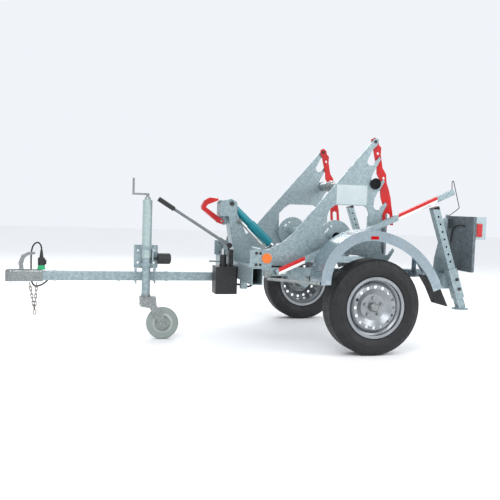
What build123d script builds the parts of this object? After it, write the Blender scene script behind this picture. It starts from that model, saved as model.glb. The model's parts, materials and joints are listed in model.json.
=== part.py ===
"""Single-axle cable drum trailer with a hydraulic lift frame.

+X points to the rear, +Y to the trailer's right side and +Z up. The tyres stand on Z = 0.
Side profiles are drawn as (distance behind the axle, height).
"""
from build123d import *
from math import atan2, cos, degrees, hypot, radians, sin, tan
import os

os.makedirs("parts", exist_ok=True)

# ---- Driving dimensions, mm ----
AXLE_X = 737.5              # the axle stands this far behind the middle of the length
TRACK = 1400.0
TYRE_R, TYRE_W, RIM_R = 298.0, 185.0, 178.0
FLANGE_R = 190.0
HUB_BORE_R = 30.0
ARM_Y, ARM_T = 495.0, 12.0  # centre plane and thickness of the lift arm plates
RAIL_Y, RAIL_W, RAIL_H, RAIL_TOP = 541.0, 50.0, 50.0, 519.0
HINGE = (-644.0, 578.0)     # lift frame hinge
MAST_PIN = (-760.0, 908.0)  # upper pin of the cylinder
ROD_EYE = (-430.0, 604.0)   # lower eye of the cylinder
SPINDLE = (83.0, 1065.0)
SPINDLE_R = 30.0
TIP_PIN = (75.0, 1334.0)
DRAWBAR_Z, DRAWBAR_W = 408.0, 58.0
DRAWBAR_START, DRAWBAR_END = -2010.0, -736.0
JOCKEY_X, JOCKEY_Y = -1325.0, -82.0
JOCKEY_WHEEL = (-1213.0, 105.0)
LEG_Y = 700.0
BAND_T, BAND_L = 3.0, 14.0   # reinforcing bands round the drawbar
LEG_TOP, LEG_FOOT = (405.0, 925.0), (628.0, 290.0)
SWING_PIVOT = (-130.0, 360.0)
POST = (604.0, 520.0)       # lamp board post: x and distance from the middle
GAP = 0.4                   # clearance between faces of different bodies
PIN_GAP = 0.05              # running clearance of pins

SIDES = (("left", -1), ("right", 1))


def side_plane(y):
    """Sketch plane facing the left side: local X runs rearward, local Y runs up."""
    return Plane(origin=(AXLE_X, y, 0), x_dir=(1, 0, 0), z_dir=(0, -1, 0))


def level_plane(z):
    """Sketch plane facing up: local X runs rearward, local Y to the right."""
    return Plane(origin=(AXLE_X, 0, z), x_dir=(1, 0, 0), z_dir=(0, 0, 1))


def cross_plane(x):
    """Sketch plane facing rearward: local X runs to the right, local Y up."""
    return Plane(origin=(AXLE_X + x, 0, 0), x_dir=(0, 1, 0), z_dir=(1, 0, 0))


def tilted_plane(start, end, y):
    """Plane at a side-view point, facing along the line from start to end."""
    run, rise = end[0] - start[0], end[1] - start[1]
    return Plane(origin=(AXLE_X + start[0], y, start[1]), x_dir=(0, 1, 0), z_dir=(run, 0, rise))


def distance(start, end):
    return hypot(end[0] - start[0], end[1] - start[1])


def save(builder, name):
    builder.part.label = name
    export_step(builder.part, f"parts/{name}.step")


def bend_radii(points):
    """Arc radius at each inner corner: 0.45 of the shorter run over the tangent of half the turn."""
    radii = []
    for before, corner, after in zip(points, points[1:], points[2:]):
        first, second = Vector(*corner) - Vector(*before), Vector(*after) - Vector(*corner)
        turn = radians(first.get_angle(second))
        radii.append(0.45 * min(first.length, second.length) / tan(turn / 2))
    return radii


# ---- Drawbar and coupling ----
with BuildPart() as drawbar:
    with BuildSketch(cross_plane(DRAWBAR_START)):
        with Locations((0, DRAWBAR_Z)):
            RectangleRounded(DRAWBAR_W, DRAWBAR_W, 6)
            RectangleRounded(DRAWBAR_W - 8, DRAWBAR_W - 8, 3, mode=Mode.SUBTRACT)
    extrude(amount=DRAWBAR_END - DRAWBAR_START)
    for station in (-1905, -1502, -1190):
        with BuildSketch(cross_plane(station)):
            with Locations((0, DRAWBAR_Z)):
                RectangleRounded(DRAWBAR_W + 2 * BAND_T, DRAWBAR_W + 2 * BAND_T, 7)
                RectangleRounded(DRAWBAR_W - 2, DRAWBAR_W - 2, 6, mode=Mode.SUBTRACT)
        extrude(amount=BAND_L)
save(drawbar, "drawbar")

BALL_X, BALL_R = -2160.0, 25.0
HEAD_R, HEAD_TOP = 37.0, 446.0
with BuildPart() as coupling_housing:
    with BuildSketch(level_plane(372)):
        with Locations((BALL_X, 0)):
            Circle(HEAD_R)
        with Locations(((BALL_X + DRAWBAR_START) / 2 + 20, 0)):
            Rectangle(DRAWBAR_START - BALL_X + 40, 62)
    extrude(amount=HEAD_TOP - 372)
    fillet(coupling_housing.faces().sort_by(Axis.Z)[-1].edges(), 14)
    with Locations((AXLE_X + BALL_X, 0, 402)):
        Sphere(BALL_R + 0.5, mode=Mode.SUBTRACT)
    with BuildSketch(level_plane(372)):
        with Locations((BALL_X, 0)):
            Circle(BALL_R + 0.5)
    extrude(amount=30, mode=Mode.SUBTRACT)
    with BuildSketch(level_plane(372)):
        with Locations((-2072.5, 0)):
            Rectangle(119, 50)
    extrude(amount=60, mode=Mode.SUBTRACT)
    with BuildSketch(cross_plane(DRAWBAR_START - 1)):
        with Locations((0, DRAWBAR_Z)):
            Rectangle(DRAWBAR_W + 0.2, DRAWBAR_W + 0.2)
    extrude(amount=60, mode=Mode.SUBTRACT)
    with BuildSketch(level_plane(430)):
        with Locations((-2095, 0)):
            SlotOverall(96, 16)
    extrude(amount=20, mode=Mode.SUBTRACT)
    with BuildSketch(side_plane(40)):
        with Locations((-2098, 410)):
            Circle(5 + PIN_GAP)
    extrude(amount=80, mode=Mode.SUBTRACT)
save(coupling_housing, "coupling_housing")

HANDLE_PIVOT = (-2098.0, 410.0)
with BuildPart() as coupling_handle:
    with BuildSketch(side_plane(7)):
        with BuildLine():
            Polyline((-2108, 402), (-2090, 400), (-2086, 440), (-2091, 480), (-2080, 520), (-2056, 538),
                     (-2018, 544), (-2018, 556), (-2060, 556), (-2100, 536), (-2118, 490), (-2112, 440),
                     close=True)
        make_face()
    extrude(amount=14)
    with BuildSketch(side_plane(18)):
        with BuildLine():
            Polyline((-2092, 520), (-2056, 538), (-2018, 544), (-2018, 556), (-2060, 556), (-2100, 536),
                     close=True)
        make_face()
    extrude(amount=36)
    with BuildSketch(side_plane(31)):
        with Locations(HANDLE_PIVOT):
            Circle(5)
    extrude(amount=62)
save(coupling_handle, "coupling_handle")

with BuildPart() as coupling_clamp:
    with BuildSketch(side_plane(10)):
        with BuildLine():
            Polyline((-2108, 376), (-2062, 384), (-2062, 396), (-2106, 390), close=True)
        make_face()
    extrude(amount=20)
save(coupling_clamp, "coupling_clamp")

PLUG_X = -1980.0
with BuildPart() as parking_socket:
    with BuildSketch(level_plane(446.2)):
        with Locations((PLUG_X, 0)):
            Circle(22)
    extrude(amount=27.3)
    with BuildSketch(level_plane(455)):
        with Locations((PLUG_X, 0)):
            Circle(17, mode=Mode.ADD)
    extrude(amount=20, mode=Mode.SUBTRACT)
    with BuildSketch(level_plane(446.2)):
        with Locations((PLUG_X, 0)):
            Rectangle(52, 34)
    extrude(amount=5)
save(parking_socket, "parking_socket")

with BuildPart() as plug:
    with BuildSketch(level_plane(456)):
        with Locations((PLUG_X, 0)):
            Circle(16.5)
    extrude(amount=18)
    with BuildSketch(level_plane(474)):
        with Locations((PLUG_X, 0)):
            Circle(22)
    extrude(amount=48)
    fillet(plug.edges().group_by(Axis.Z)[-1], 6)
    with BuildSketch(level_plane(478)):
        with Locations((PLUG_X + 22, 0)):
            Circle(9)
    extrude(amount=30)
    with BuildSketch(level_plane(520)):
        with Locations((PLUG_X, 0)):
            Circle(13)
    extrude(amount=50, taper=7)
save(plug, "plug")

# The lead leaves the plug upward, loops forward over the right side and enters the drawbar below.
LEAD_R = 5.0
LEAD_POINTS = [
    (PLUG_X, 0, 570), (PLUG_X, 2, 598), (PLUG_X - 24, 14, 622), (PLUG_X - 52, 30, 602),
    (PLUG_X - 64, 44, 560), (PLUG_X - 66, 50, 508), (PLUG_X - 65, 52, 456), (PLUG_X - 66, 52, 404),
    (PLUG_X - 62, 46, 360), (PLUG_X - 40, 28, 332), (PLUG_X - 4, 10, 342), (PLUG_X + 26, 2, 362),
    (PLUG_X + 40, 0, 379),
]
lead_path_points = [(AXLE_X + x, y, z) for x, y, z in LEAD_POINTS]
with BuildPart() as trailer_lead:
    with BuildLine() as lead_path:
        FilletPolyline(*lead_path_points, radius=bend_radii(lead_path_points))
    start = lead_path.wires()[0]
    with BuildSketch(Plane(origin=start @ 0, z_dir=start % 0)):
        Circle(LEAD_R)
    sweep()
save(trailer_lead, "trailer_lead")
print("trailer_lead radii", [round(radius) for radius in bend_radii(lead_path_points)])
print("trailer_lead length", round(start.length), "volume ratio",
      round(trailer_lead.part.volume / (3.14159 * LEAD_R ** 2 * start.length), 4))

# ---- Safety chain: two strands of oval links that meet at a lower ring ----
LINK_WIRE, LINK_R, LINK_HALF = 2.6, 6.0, 9.0


def chain_link(plane):
    """One oval link lying in the given plane, long along the plane's X."""
    with BuildPart() as link:
        with BuildLine(plane) as oval:
            Line((-LINK_HALF, LINK_R), (LINK_HALF, LINK_R))
            ThreePointArc((LINK_HALF, LINK_R), (LINK_HALF + LINK_R, 0), (LINK_HALF, -LINK_R))
            Line((LINK_HALF, -LINK_R), (-LINK_HALF, -LINK_R))
            ThreePointArc((-LINK_HALF, -LINK_R), (-LINK_HALF - LINK_R, 0), (-LINK_HALF, LINK_R))
        loop = oval.wires()[0]
        with BuildSketch(Plane(origin=loop @ 0, z_dir=loop % 0)):
            Circle(LINK_WIRE)
        sweep()
    return link.part


CHAIN_FOOT = (-2018.0, 176.0)
chain_links = []
for top_x in (-2048.0, -2008.0):
    top = (top_x, 346.0)
    strand = distance(top, CHAIN_FOOT)
    pitch = 2 * (LINK_HALF + LINK_R - LINK_WIRE) - 0.8
    run, rise = (CHAIN_FOOT[0] - top_x) / strand, (CHAIN_FOOT[1] - top[1]) / strand
    for number in range(int(strand / pitch)):
        reach = pitch * number
        centre = (AXLE_X + top_x + run * reach, 0, top[1] + rise * reach)
        facing = (0, 1, 0) if number % 2 else (-rise, 0, run)
        chain_links.append(chain_link(Plane(origin=centre, x_dir=(run, 0, rise), z_dir=facing)))
with BuildPart() as safety_chain:
    add(chain_links)
    with BuildSketch(side_plane(3)):
        with Locations((-2018, 171)):
            SlotOverall(34, 22, rotation=90)
            SlotOverall(24, 12, rotation=90, mode=Mode.SUBTRACT)
    extrude(amount=6)
save(safety_chain, "safety_chain")

# ---- Jockey wheel ----
PLATE_FACE = -33.0
CLAMP_LOW, CLAMP_HIGH = 463.0, 617.0
OUTER_R, INNER_R, SCREW_R = 31.0, 27.5, 9.0
OUTER_BOTTOM, OUTER_TOP = 535.0, 905.0
with BuildPart() as jockey_clamp:
    with BuildSketch(side_plane(PLATE_FACE)):
        with Locations((JOCKEY_X, (CLAMP_LOW + CLAMP_HIGH) / 2)):
            RectangleRounded(156, CLAMP_HIGH - CLAMP_LOW, 8)
            with GridLocations(104, 80, 2, 2):
                Circle(7, mode=Mode.SUBTRACT)
    extrude(amount=6)
    for x in (JOCKEY_X - 62, JOCKEY_X + 62):
        with BuildSketch(cross_plane(x - 5)):
            with Locations((-36, 412)):
                Rectangle(6, 104)
            with Locations((0, 373.5)):
                Rectangle(78, 9)
            with Locations((36, 412)):
                Rectangle(6, 84)
            with Locations((0, 441.5)):
                Rectangle(78, 6)
        extrude(amount=10)
    for z in (480, 588):
        with BuildSketch(level_plane(z)):
            with Locations((JOCKEY_X, JOCKEY_Y)):
                Circle(OUTER_R + 6)
            with Locations((JOCKEY_X, (JOCKEY_Y + PLATE_FACE - 5) / 2)):
                Rectangle(2 * OUTER_R + 12, PLATE_FACE - 5 - JOCKEY_Y)
            with Locations((JOCKEY_X, JOCKEY_Y)):
                Circle(OUTER_R if z > OUTER_BOTTOM else INNER_R + PIN_GAP, mode=Mode.SUBTRACT)
        extrude(amount=22)
    with BuildSketch(cross_plane(JOCKEY_X + OUTER_R + 3)):
        with Locations((JOCKEY_Y, 545)):
            Rectangle(30, 110)
        with Locations((JOCKEY_Y, 531)):
            Circle(8 + PIN_GAP, mode=Mode.SUBTRACT)
    extrude(amount=10)
save(jockey_clamp, "jockey_clamp")

KNOB_X = JOCKEY_X + OUTER_R + 1
with BuildPart() as jockey_knob:
    with BuildSketch(cross_plane(KNOB_X)):
        with Locations((JOCKEY_Y, 531)):
            Circle(8)
    extrude(amount=45)
    with BuildSketch(cross_plane(KNOB_X + 40)):
        with Locations((JOCKEY_Y, 531)):
            Circle(36)
    extrude(amount=86)
    fillet(jockey_knob.edges().group_by(Axis.X)[-1], 14)
save(jockey_knob, "jockey_knob")

with BuildPart() as jockey_outer_tube:
    with BuildSketch(level_plane(OUTER_BOTTOM)):
        with Locations((JOCKEY_X, JOCKEY_Y)):
            Circle(OUTER_R)
            Circle(OUTER_R - 3, mode=Mode.SUBTRACT)
    extrude(amount=OUTER_TOP - OUTER_BOTTOM)
    with BuildSketch(level_plane(OUTER_TOP)):
        with Locations((JOCKEY_X, JOCKEY_Y)):
            Circle(OUTER_R)
            Circle(SCREW_R + 1 + PIN_GAP, mode=Mode.SUBTRACT)
    extrude(amount=6)
    with BuildSketch(level_plane(OUTER_TOP + 6)):
        with Locations((JOCKEY_X, JOCKEY_Y)):
            Circle(22)
            Circle(SCREW_R + 1 + PIN_GAP, mode=Mode.SUBTRACT)
    extrude(amount=8)
save(jockey_outer_tube, "jockey_outer_tube")

INNER_BOTTOM, INNER_TOP = 296.0, 700.0
with BuildPart() as jockey_inner_tube:
    with BuildSketch(level_plane(INNER_BOTTOM)):
        with Locations((JOCKEY_X, JOCKEY_Y)):
            Circle(INNER_R)
            Circle(INNER_R - 3, mode=Mode.SUBTRACT)
    extrude(amount=INNER_TOP - INNER_BOTTOM)
    with BuildSketch(level_plane(INNER_TOP - 25)):
        with Locations((JOCKEY_X, JOCKEY_Y)):
            Circle(INNER_R - 2)
            Circle(SCREW_R + 0.5, mode=Mode.SUBTRACT)
    extrude(amount=25)
save(jockey_inner_tube, "jockey_inner_tube")

CRANK_Z, CRANK_THROW = 950.0, 92.0
with BuildPart() as jockey_crank:
    with BuildSketch(level_plane(430)):
        with Locations((JOCKEY_X, JOCKEY_Y)):
            Circle(SCREW_R)
    extrude(amount=OUTER_TOP + 26 - 430)
    with BuildSketch(level_plane(OUTER_TOP + 14.5)):
        with Locations((JOCKEY_X, JOCKEY_Y)):
            Circle(20)
            Circle(SCREW_R, mode=Mode.SUBTRACT)
    extrude(amount=16, taper=24)
    with BuildSketch(level_plane(OUTER_TOP + 26)):
        with Locations((JOCKEY_X, JOCKEY_Y)):
            Circle(10)
    extrude(amount=CRANK_Z - OUTER_TOP - 22)
    with BuildSketch(cross_plane(JOCKEY_X + 8)):
        with Locations((JOCKEY_Y, CRANK_Z)):
            Circle(7)
    extrude(amount=-CRANK_THROW - 8)
    with BuildSketch(level_plane(CRANK_Z - 7)):
        with Locations((JOCKEY_X - CRANK_THROW, JOCKEY_Y)):
            Circle(7)
    extrude(amount=108)
save(jockey_crank, "jockey_crank")

FORK_W, FORK_T = 74.0, 5.0
with BuildPart() as jockey_fork:
    with BuildSketch(level_plane(INNER_BOTTOM - 15)):
        with Locations((JOCKEY_X, JOCKEY_Y)):
            Circle(30)
    extrude(amount=14.6)
    with BuildSketch(side_plane(JOCKEY_Y + FORK_W / 2)):
        with BuildLine():
            Polyline((-1366, 282), (-1262, 282), (-1256, 226), (-1180, 108), (-1194, 84), (-1226, 84),
                     (-1300, 208), (-1360, 218), close=True)
        make_face()
    extrude(amount=FORK_W)
    with BuildSketch(side_plane(JOCKEY_Y + FORK_W / 2 - FORK_T)):
        with BuildLine():
            Polyline((-1380, 216), (-1340, 276), (-1270, 276), (-1150, 120), (-1150, 60), (-1250, 60),
                     close=True)
        make_face()
    extrude(amount=FORK_W - 2 * FORK_T, mode=Mode.SUBTRACT)
    with BuildSketch(side_plane(JOCKEY_Y + FORK_W / 2 + 8)):
        with Locations(JOCKEY_WHEEL):
            Circle(8)
    extrude(amount=FORK_W + 16)
save(jockey_fork, "jockey_fork")

JOCKEY_RIM_R, JOCKEY_TYRE_R = 68.0, JOCKEY_WHEEL[1]
with BuildPart() as jockey_wheel:
    with BuildSketch(side_plane(JOCKEY_Y + 22)):
        with Locations(JOCKEY_WHEEL):
            Circle(JOCKEY_RIM_R)
            Circle(52, mode=Mode.SUBTRACT)
    extrude(amount=44)
    with BuildSketch(side_plane(JOCKEY_Y + 3)):
        with Locations(JOCKEY_WHEEL):
            Circle(54)
    extrude(amount=6)
    with BuildSketch(side_plane(JOCKEY_Y + 28)):
        with Locations(JOCKEY_WHEEL):
            Circle(17)
    extrude(amount=56)
    with BuildSketch(side_plane(JOCKEY_Y + 40)):
        with Locations(JOCKEY_WHEEL):
            Circle(8 + PIN_GAP)
    extrude(amount=80, mode=Mode.SUBTRACT)
save(jockey_wheel, "jockey_wheel")

with BuildPart() as jockey_tyre:
    with BuildSketch(side_plane(JOCKEY_Y + 25)):
        with Locations(JOCKEY_WHEEL):
            Circle(JOCKEY_TYRE_R)
            Circle(JOCKEY_RIM_R, mode=Mode.SUBTRACT)
    extrude(amount=50)
    fillet(jockey_tyre.edges().filter_by(GeomType.CIRCLE).sort_by(SortBy.RADIUS)[-2:], 14)
save(jockey_tyre, "jockey_tyre")

# ---- Chassis: front cross member, side rails, corner plates ----
CROSS_FRONT, CROSS_DEPTH, CROSS_LOW = -735.0, 70.0, 412.0
RAIL_FRONT, RAIL_REAR = -665.0, 500.0
HOUSING_IN, HOUSING_OUT = 512.0, 572.0
STUB_R = 17.5
with BuildPart() as cross_member:
    with BuildSketch(cross_plane(CROSS_FRONT)):
        with Locations((0, (CROSS_LOW + RAIL_TOP) / 2)):
            Rectangle(2 * RAIL_Y + RAIL_W, RAIL_TOP - CROSS_LOW)
    extrude(amount=CROSS_DEPTH - 0.5)
    with BuildSketch(side_plane(RAIL_Y + RAIL_W)):
        with Locations((CROSS_FRONT + 35, (CROSS_LOW + RAIL_TOP) / 2)):
            RectangleRounded(CROSS_DEPTH - 12, RAIL_TOP - 12 - CROSS_LOW, 5)
    extrude(amount=2 * (RAIL_Y + RAIL_W), mode=Mode.SUBTRACT)
    with BuildSketch(level_plane(350)):
        with Locations((-702, -218)):
            Rectangle(40, 44)
            Rectangle(30, 34, mode=Mode.SUBTRACT)
    extrude(amount=CROSS_LOW - 350)
save(cross_member, "cross_member")

with BuildPart() as side_rails:
    for _, side in SIDES:
        with BuildSketch(cross_plane(RAIL_FRONT)):
            with Locations((side * RAIL_Y, RAIL_TOP - RAIL_H / 2)):
                RectangleRounded(RAIL_W, RAIL_H, 5)
                RectangleRounded(RAIL_W - 8, RAIL_H - 8, 2, mode=Mode.SUBTRACT)
        extrude(amount=RAIL_REAR - RAIL_FRONT)
    for _, side in SIDES:
        with BuildSketch(side_plane(side * HOUSING_IN)):
            with Locations(SWING_PIVOT):
                RectangleRounded(74, 74, 10)
                Circle(20, mode=Mode.SUBTRACT)
        extrude(amount=-side * (HOUSING_OUT - HOUSING_IN))
        with BuildSketch(side_plane(side * (RAIL_Y - 20))):
            with BuildLine():
                Polyline((-160, 396), (-190, 469), (-60, 469), (-100, 396), close=True)
            make_face()
        extrude(amount=-side * 40)
save(side_rails, "side_rails")

BEARING_FACE = ARM_Y + ARM_T / 2 + 1
with BuildPart() as corner_plates:
    for _, side in SIDES:
        outer = side * (BEARING_FACE + 62)
        with BuildSketch(level_plane(RAIL_TOP)):
            with Locations((-704, side * (BEARING_FACE + 31))):
                Rectangle(90, 62)
            with Locations((-652, side * (BEARING_FACE + 31))):
                Rectangle(76, 62)
        extrude(amount=6)
        with BuildSketch(side_plane(outer)):
            with Locations((-704, 573)):
                Rectangle(90, 108)
            with Locations((-697, 573)):
                with GridLocations(26, 70, 2, 2):
                    Circle(6, mode=Mode.SUBTRACT)
        extrude(amount=side * 8)
        with BuildSketch(side_plane(side * BEARING_FACE)):
            with Locations(HINGE):
                Rectangle(64, 106)
                Circle(20, mode=Mode.SUBTRACT)
        extrude(amount=-side * 62)
save(corner_plates, "corner_plates")

with BuildPart() as side_reflectors:
    for _, side in SIDES:
        with BuildSketch(side_plane(side * (BEARING_FACE + 62))):
            with Locations(HINGE):
                Circle(31)
        extrude(amount=-side * 9)
    fillet(side_reflectors.edges().filter_by(GeomType.CIRCLE).sort_by(Axis.Y)[:1], 3)
    fillet(side_reflectors.edges().filter_by(GeomType.CIRCLE).sort_by(Axis.Y)[-1:], 3)
save(side_reflectors, "side_reflectors")

# ---- Mast that carries the cylinder ----
HANDLE_HINGE = (-822.0, 788.0)
CHEEK_IN, CHEEK_OUT = 52.0, 62.0
with BuildPart() as mast:
    for start in (CHEEK_OUT, -CHEEK_IN):
        with BuildSketch(side_plane(start)) as cheek:
            with BuildLine():
                Polyline((-838, 929), (-722, 929), (-722, 845), (-607, 598), (-604, RAIL_TOP),
                         (-737, RAIL_TOP), (-737, 585), (-752, 650), (-780, 824), (-838, 822), close=True)
            make_face()
            fillet(cheek.vertices().group_by(Axis.Y)[-1], 24)
            with Locations(MAST_PIN):
                Circle(15, mode=Mode.SUBTRACT)
        extrude(amount=CHEEK_OUT - CHEEK_IN)
    with BuildSketch(side_plane(CHEEK_IN)):
        with BuildLine():
            Polyline((-838, 905), (-838, 822), (-780, 822), (-752, 648), (-737, 585), (-737, RAIL_TOP),
                     (-729, RAIL_TOP), (-729, 586), (-744, 650), (-773, 830), (-830, 830), (-830, 905),
                     close=True)
        make_face()
    extrude(amount=2 * CHEEK_IN)
    with BuildSketch(level_plane(RAIL_TOP)):
        with Locations((-670, 0)):
            Rectangle(130, 180)
    extrude(amount=8)
    with BuildSketch(side_plane(11)):
        with BuildLine():
            Polyline((-838, 830), (-838.5, 772), (-798, 760), (-770, 776), (-774, 830), close=True)
        make_face()
    extrude(amount=22)
    with BuildSketch(side_plane(30)):
        with Locations(HANDLE_HINGE):
            Circle(7)
    extrude(amount=60)
save(mast, "mast")

STAY_FRONT, STAY_REAR = (-640.0, 455.0), (-372.0, 448.0)   # mudguard stays
with BuildPart() as brace_rods:
    for _, side in SIDES:
        ends = [(AXLE_X - 706, side * (CHEEK_OUT + 9), 790), (AXLE_X - 655, side * 520, 645)]
        with BuildLine() as brace_line:
            Line(*ends)
        brace = brace_line.edges()[0]
        with BuildSketch(Plane(origin=brace @ 0, z_dir=brace % 0)):
            Circle(8)
        sweep()
        with BuildSketch(side_plane(side * CHEEK_OUT)):
            with Locations((-706, 790)):
                Circle(18)
        extrude(amount=-side * 8)
        with BuildSketch(side_plane(side * 514)):
            with BuildLine():
                Polyline((-668, 631), (-640, 631), (-644, 662), (-664, 662), close=True)
            make_face()
        extrude(amount=-side * 8)
        stay_ends = [(AXLE_X + STAY_FRONT[0], side * 582, STAY_FRONT[1]),
                     (AXLE_X + STAY_REAR[0], side * 790, STAY_REAR[1])]
        with BuildLine() as stay_line:
            Line(*stay_ends)
        stay = stay_line.edges()[0]
        with BuildSketch(Plane(origin=stay @ 0, z_dir=stay % 0)):
            Circle(10)
        sweep()
        with BuildSketch(side_plane(side * (RAIL_Y + RAIL_W / 2))):
            with Locations((-640, 480)):
                Rectangle(40, 40)
        extrude(amount=-side * 16)
save(brace_rods, "brace_rods")

# ---- Manoeuvring handle on the mast, a bent flat bar on a hinge lug ----
with BuildPart() as mast_handle:
    with BuildSketch(side_plane(26)):
        with BuildLine():
            Polyline((-846, 938), (-905, 944), (-936, 925), (-958, 885), (-955, 862), (-846, 776),
                     (-822, 768), (-806, 780), (-806, 792), (-836, 812), (-930, 878), (-918, 896),
                     (-846, 926), close=True)
        make_face()
    extrude(amount=52)
    with BuildSketch(side_plane(13)):
        with Locations((-822, 790)):
            Rectangle(60, 62)
    extrude(amount=26, mode=Mode.SUBTRACT)
    with BuildSketch(side_plane(30)):
        with Locations(HANDLE_HINGE):
            Circle(7 + PIN_GAP)
    extrude(amount=60, mode=Mode.SUBTRACT)
save(mast_handle, "mast_handle")

# ---- Hydraulic cylinder between the mast and the lift frame ----
STROKE_AXIS = tilted_plane(MAST_PIN, ROD_EYE, 0)
EYE_DISTANCE = distance(MAST_PIN, ROD_EYE)
BORE_R, ROD_R = 22.0, 14.0
with BuildPart() as cylinder_barrel:
    with BuildSketch(STROKE_AXIS.offset(20)):
        Circle(26)
    extrude(amount=190)
    with BuildSketch(STROKE_AXIS.offset(200)):
        Circle(32)
    extrude(amount=196)
    chamfer(cylinder_barrel.edges().filter_by(GeomType.CIRCLE).sort_by(Axis.Z)[0], 4)
    with BuildSketch(side_plane(30)):
        with Locations(MAST_PIN):
            Circle(29)
    extrude(amount=60)
    with BuildSketch(side_plane(31)):
        with Locations(MAST_PIN):
            Circle(15 + PIN_GAP)
    extrude(amount=62, mode=Mode.SUBTRACT)
    with BuildSketch(STROKE_AXIS.offset(50)):
        Circle(BORE_R)
    extrude(amount=330, mode=Mode.SUBTRACT)
    with BuildSketch(STROKE_AXIS.offset(370)):
        Circle(ROD_R + PIN_GAP)
    extrude(amount=40, mode=Mode.SUBTRACT)
save(cylinder_barrel, "cylinder_barrel")

with BuildPart() as cylinder_rod:
    with BuildSketch(STROKE_AXIS.offset(80)):
        Circle(BORE_R - PIN_GAP)
    extrude(amount=30)
    with BuildSketch(STROKE_AXIS.offset(110)):
        Circle(ROD_R)
    extrude(amount=EYE_DISTANCE - 135)
    with BuildSketch(side_plane(18)):
        with Locations(ROD_EYE):
            Circle(30)
            Circle(20, mode=Mode.SUBTRACT)
    extrude(amount=36)
save(cylinder_rod, "cylinder_rod")

# ---- Lift frame: two hooked arm plates, cross tubes, pins ----
NOTCH_R = SPINDLE_R + 0.4


def arm_plate(side, name):
    inner = side * (ARM_Y - ARM_T / 2)
    with BuildPart() as arm:
        with BuildSketch(side_plane(inner)):
            with BuildLine():
                Spline((-644, 628), (-584, 645), (-494, 701), (-395, 809),
                       tangents=((1, 0.1), (0.63, 0.77)))
                Polyline((-395, 809), (51, 1328), (62, 1350), (84, 1357), (98, 1345), (88, 1312),
                         (60, 1285), (28, 1222))
                ThreePointArc((28, 1222), (39, 1182), (75, 1200))
                Polyline((75, 1200), (107, 1240), (117, 1224), (88, 1172), (60, 1118), (53, 1070))
                ThreePointArc((53, 1070), (SPINDLE[0] - 4, SPINDLE[1] - 30.1), (110, 1051.5))
                Polyline((110, 1051.5), (138, 1096), (151, 1082), (124, 1036), (100, 1005), (84, 970),
                         (80, 932))
                ThreePointArc((80, 932), (101, 897), (130, 914))
                Polyline((130, 914), (162, 948), (174, 932), (152, 893), (138, 860), (133, 829),
                         (135, 690), (148, 640))
                ThreePointArc((148, 640), (172, 604), (204, 618))
                Polyline((204, 618), (230, 650), (241, 634), (214, 590), (196, 566), (100, 566),
                         (-20, 600), (-274, 615), (-364, 582), (-420, 565), (-471, 528), (-644, 528))
                ThreePointArc((-644, 528), (-694, 578), (-644, 628))
            make_face()
            with BuildLine():
                Polyline((-184, 920), (10, 920), (34, 908), (46, 880), (62, 767), (58, 700), (-40, 690),
                         (-230, 700), (-262, 740), (-264, 847), (-224, 890), close=True)
            make_face(mode=Mode.SUBTRACT)
            with Locations(TIP_PIN):
                Circle(10, mode=Mode.SUBTRACT)
            with Locations(HINGE):
                Circle(18, mode=Mode.SUBTRACT)
        extrude(amount=-side * ARM_T)
        with BuildSketch(side_plane(inner)):
            with BuildLine():
                Line((-198, 921), (-2, 921))
                ThreePointArc((-2, 921), (-92, 1032), (-198, 921))
            make_face()
        extrude(amount=side * 4)
        with BuildSketch(side_plane(side * (ARM_Y + ARM_T / 2))):
            with Locations((-322, 675)):
                Circle(40)
                SlotOverall(78, 14, rotation=43, mode=Mode.SUBTRACT)
        extrude(amount=-side * 6)
    save(arm, name)


arm_plate(-1, "left_lift_arm")
arm_plate(1, "right_lift_arm")

with BuildPart() as arm_pins:
    for _, side in SIDES:
        with BuildSketch(side_plane(side * (ARM_Y - 28))):
            with Locations(TIP_PIN):
                Circle(10)
        extrude(amount=-side * 38)
        with BuildSketch(side_plane(side * (ARM_Y - 14))):
            with Locations(HINGE):
                Circle(18)
        extrude(amount=-side * 70)
save(arm_pins, "arm_pins")

FRONT_TUBE, REAR_TUBE = (-500.0, 568.0), (-162.0, 712.0)
TUBE_REACH = ARM_Y - ARM_T / 2
with BuildPart() as front_cross_tube:
    with BuildSketch(side_plane(TUBE_REACH)):
        with Locations(FRONT_TUBE):
            Circle(30)
            Circle(25, mode=Mode.SUBTRACT)
    extrude(amount=2 * TUBE_REACH)
    for y in (34, -22):
        with BuildSketch(side_plane(y)):
            with BuildLine():
                Polyline((-500, 598), (-450, 628), (-430, 632), (-408, 604), (-430, 578), (-475, 551),
                         (-500, 538), close=True)
            make_face()
            with Locations(FRONT_TUBE):
                Circle(29, mode=Mode.SUBTRACT)
        extrude(amount=12)
    with BuildSketch(side_plane(38)):
        with Locations(ROD_EYE):
            Circle(12)
    extrude(amount=76)
save(front_cross_tube, "front_cross_tube")

with BuildPart() as rear_cross_tube:
    with BuildSketch(side_plane(TUBE_REACH)):
        with Locations(REAR_TUBE):
            Circle(38)
            Circle(33, mode=Mode.SUBTRACT)
    extrude(amount=2 * TUBE_REACH)
    for _, side in SIDES:
        with BuildSketch(side_plane(side * 462)):
            with Locations(REAR_TUBE):
                Circle(111)
                Circle(36, mode=Mode.SUBTRACT)
            with Locations((-190, 782)):
                Circle(7, mode=Mode.SUBTRACT)
            with Locations((-226, 748)):
                SlotOverall(56, 14, rotation=52, mode=Mode.SUBTRACT)
        extrude(amount=side * 8)
save(rear_cross_tube, "rear_cross_tube")


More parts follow.
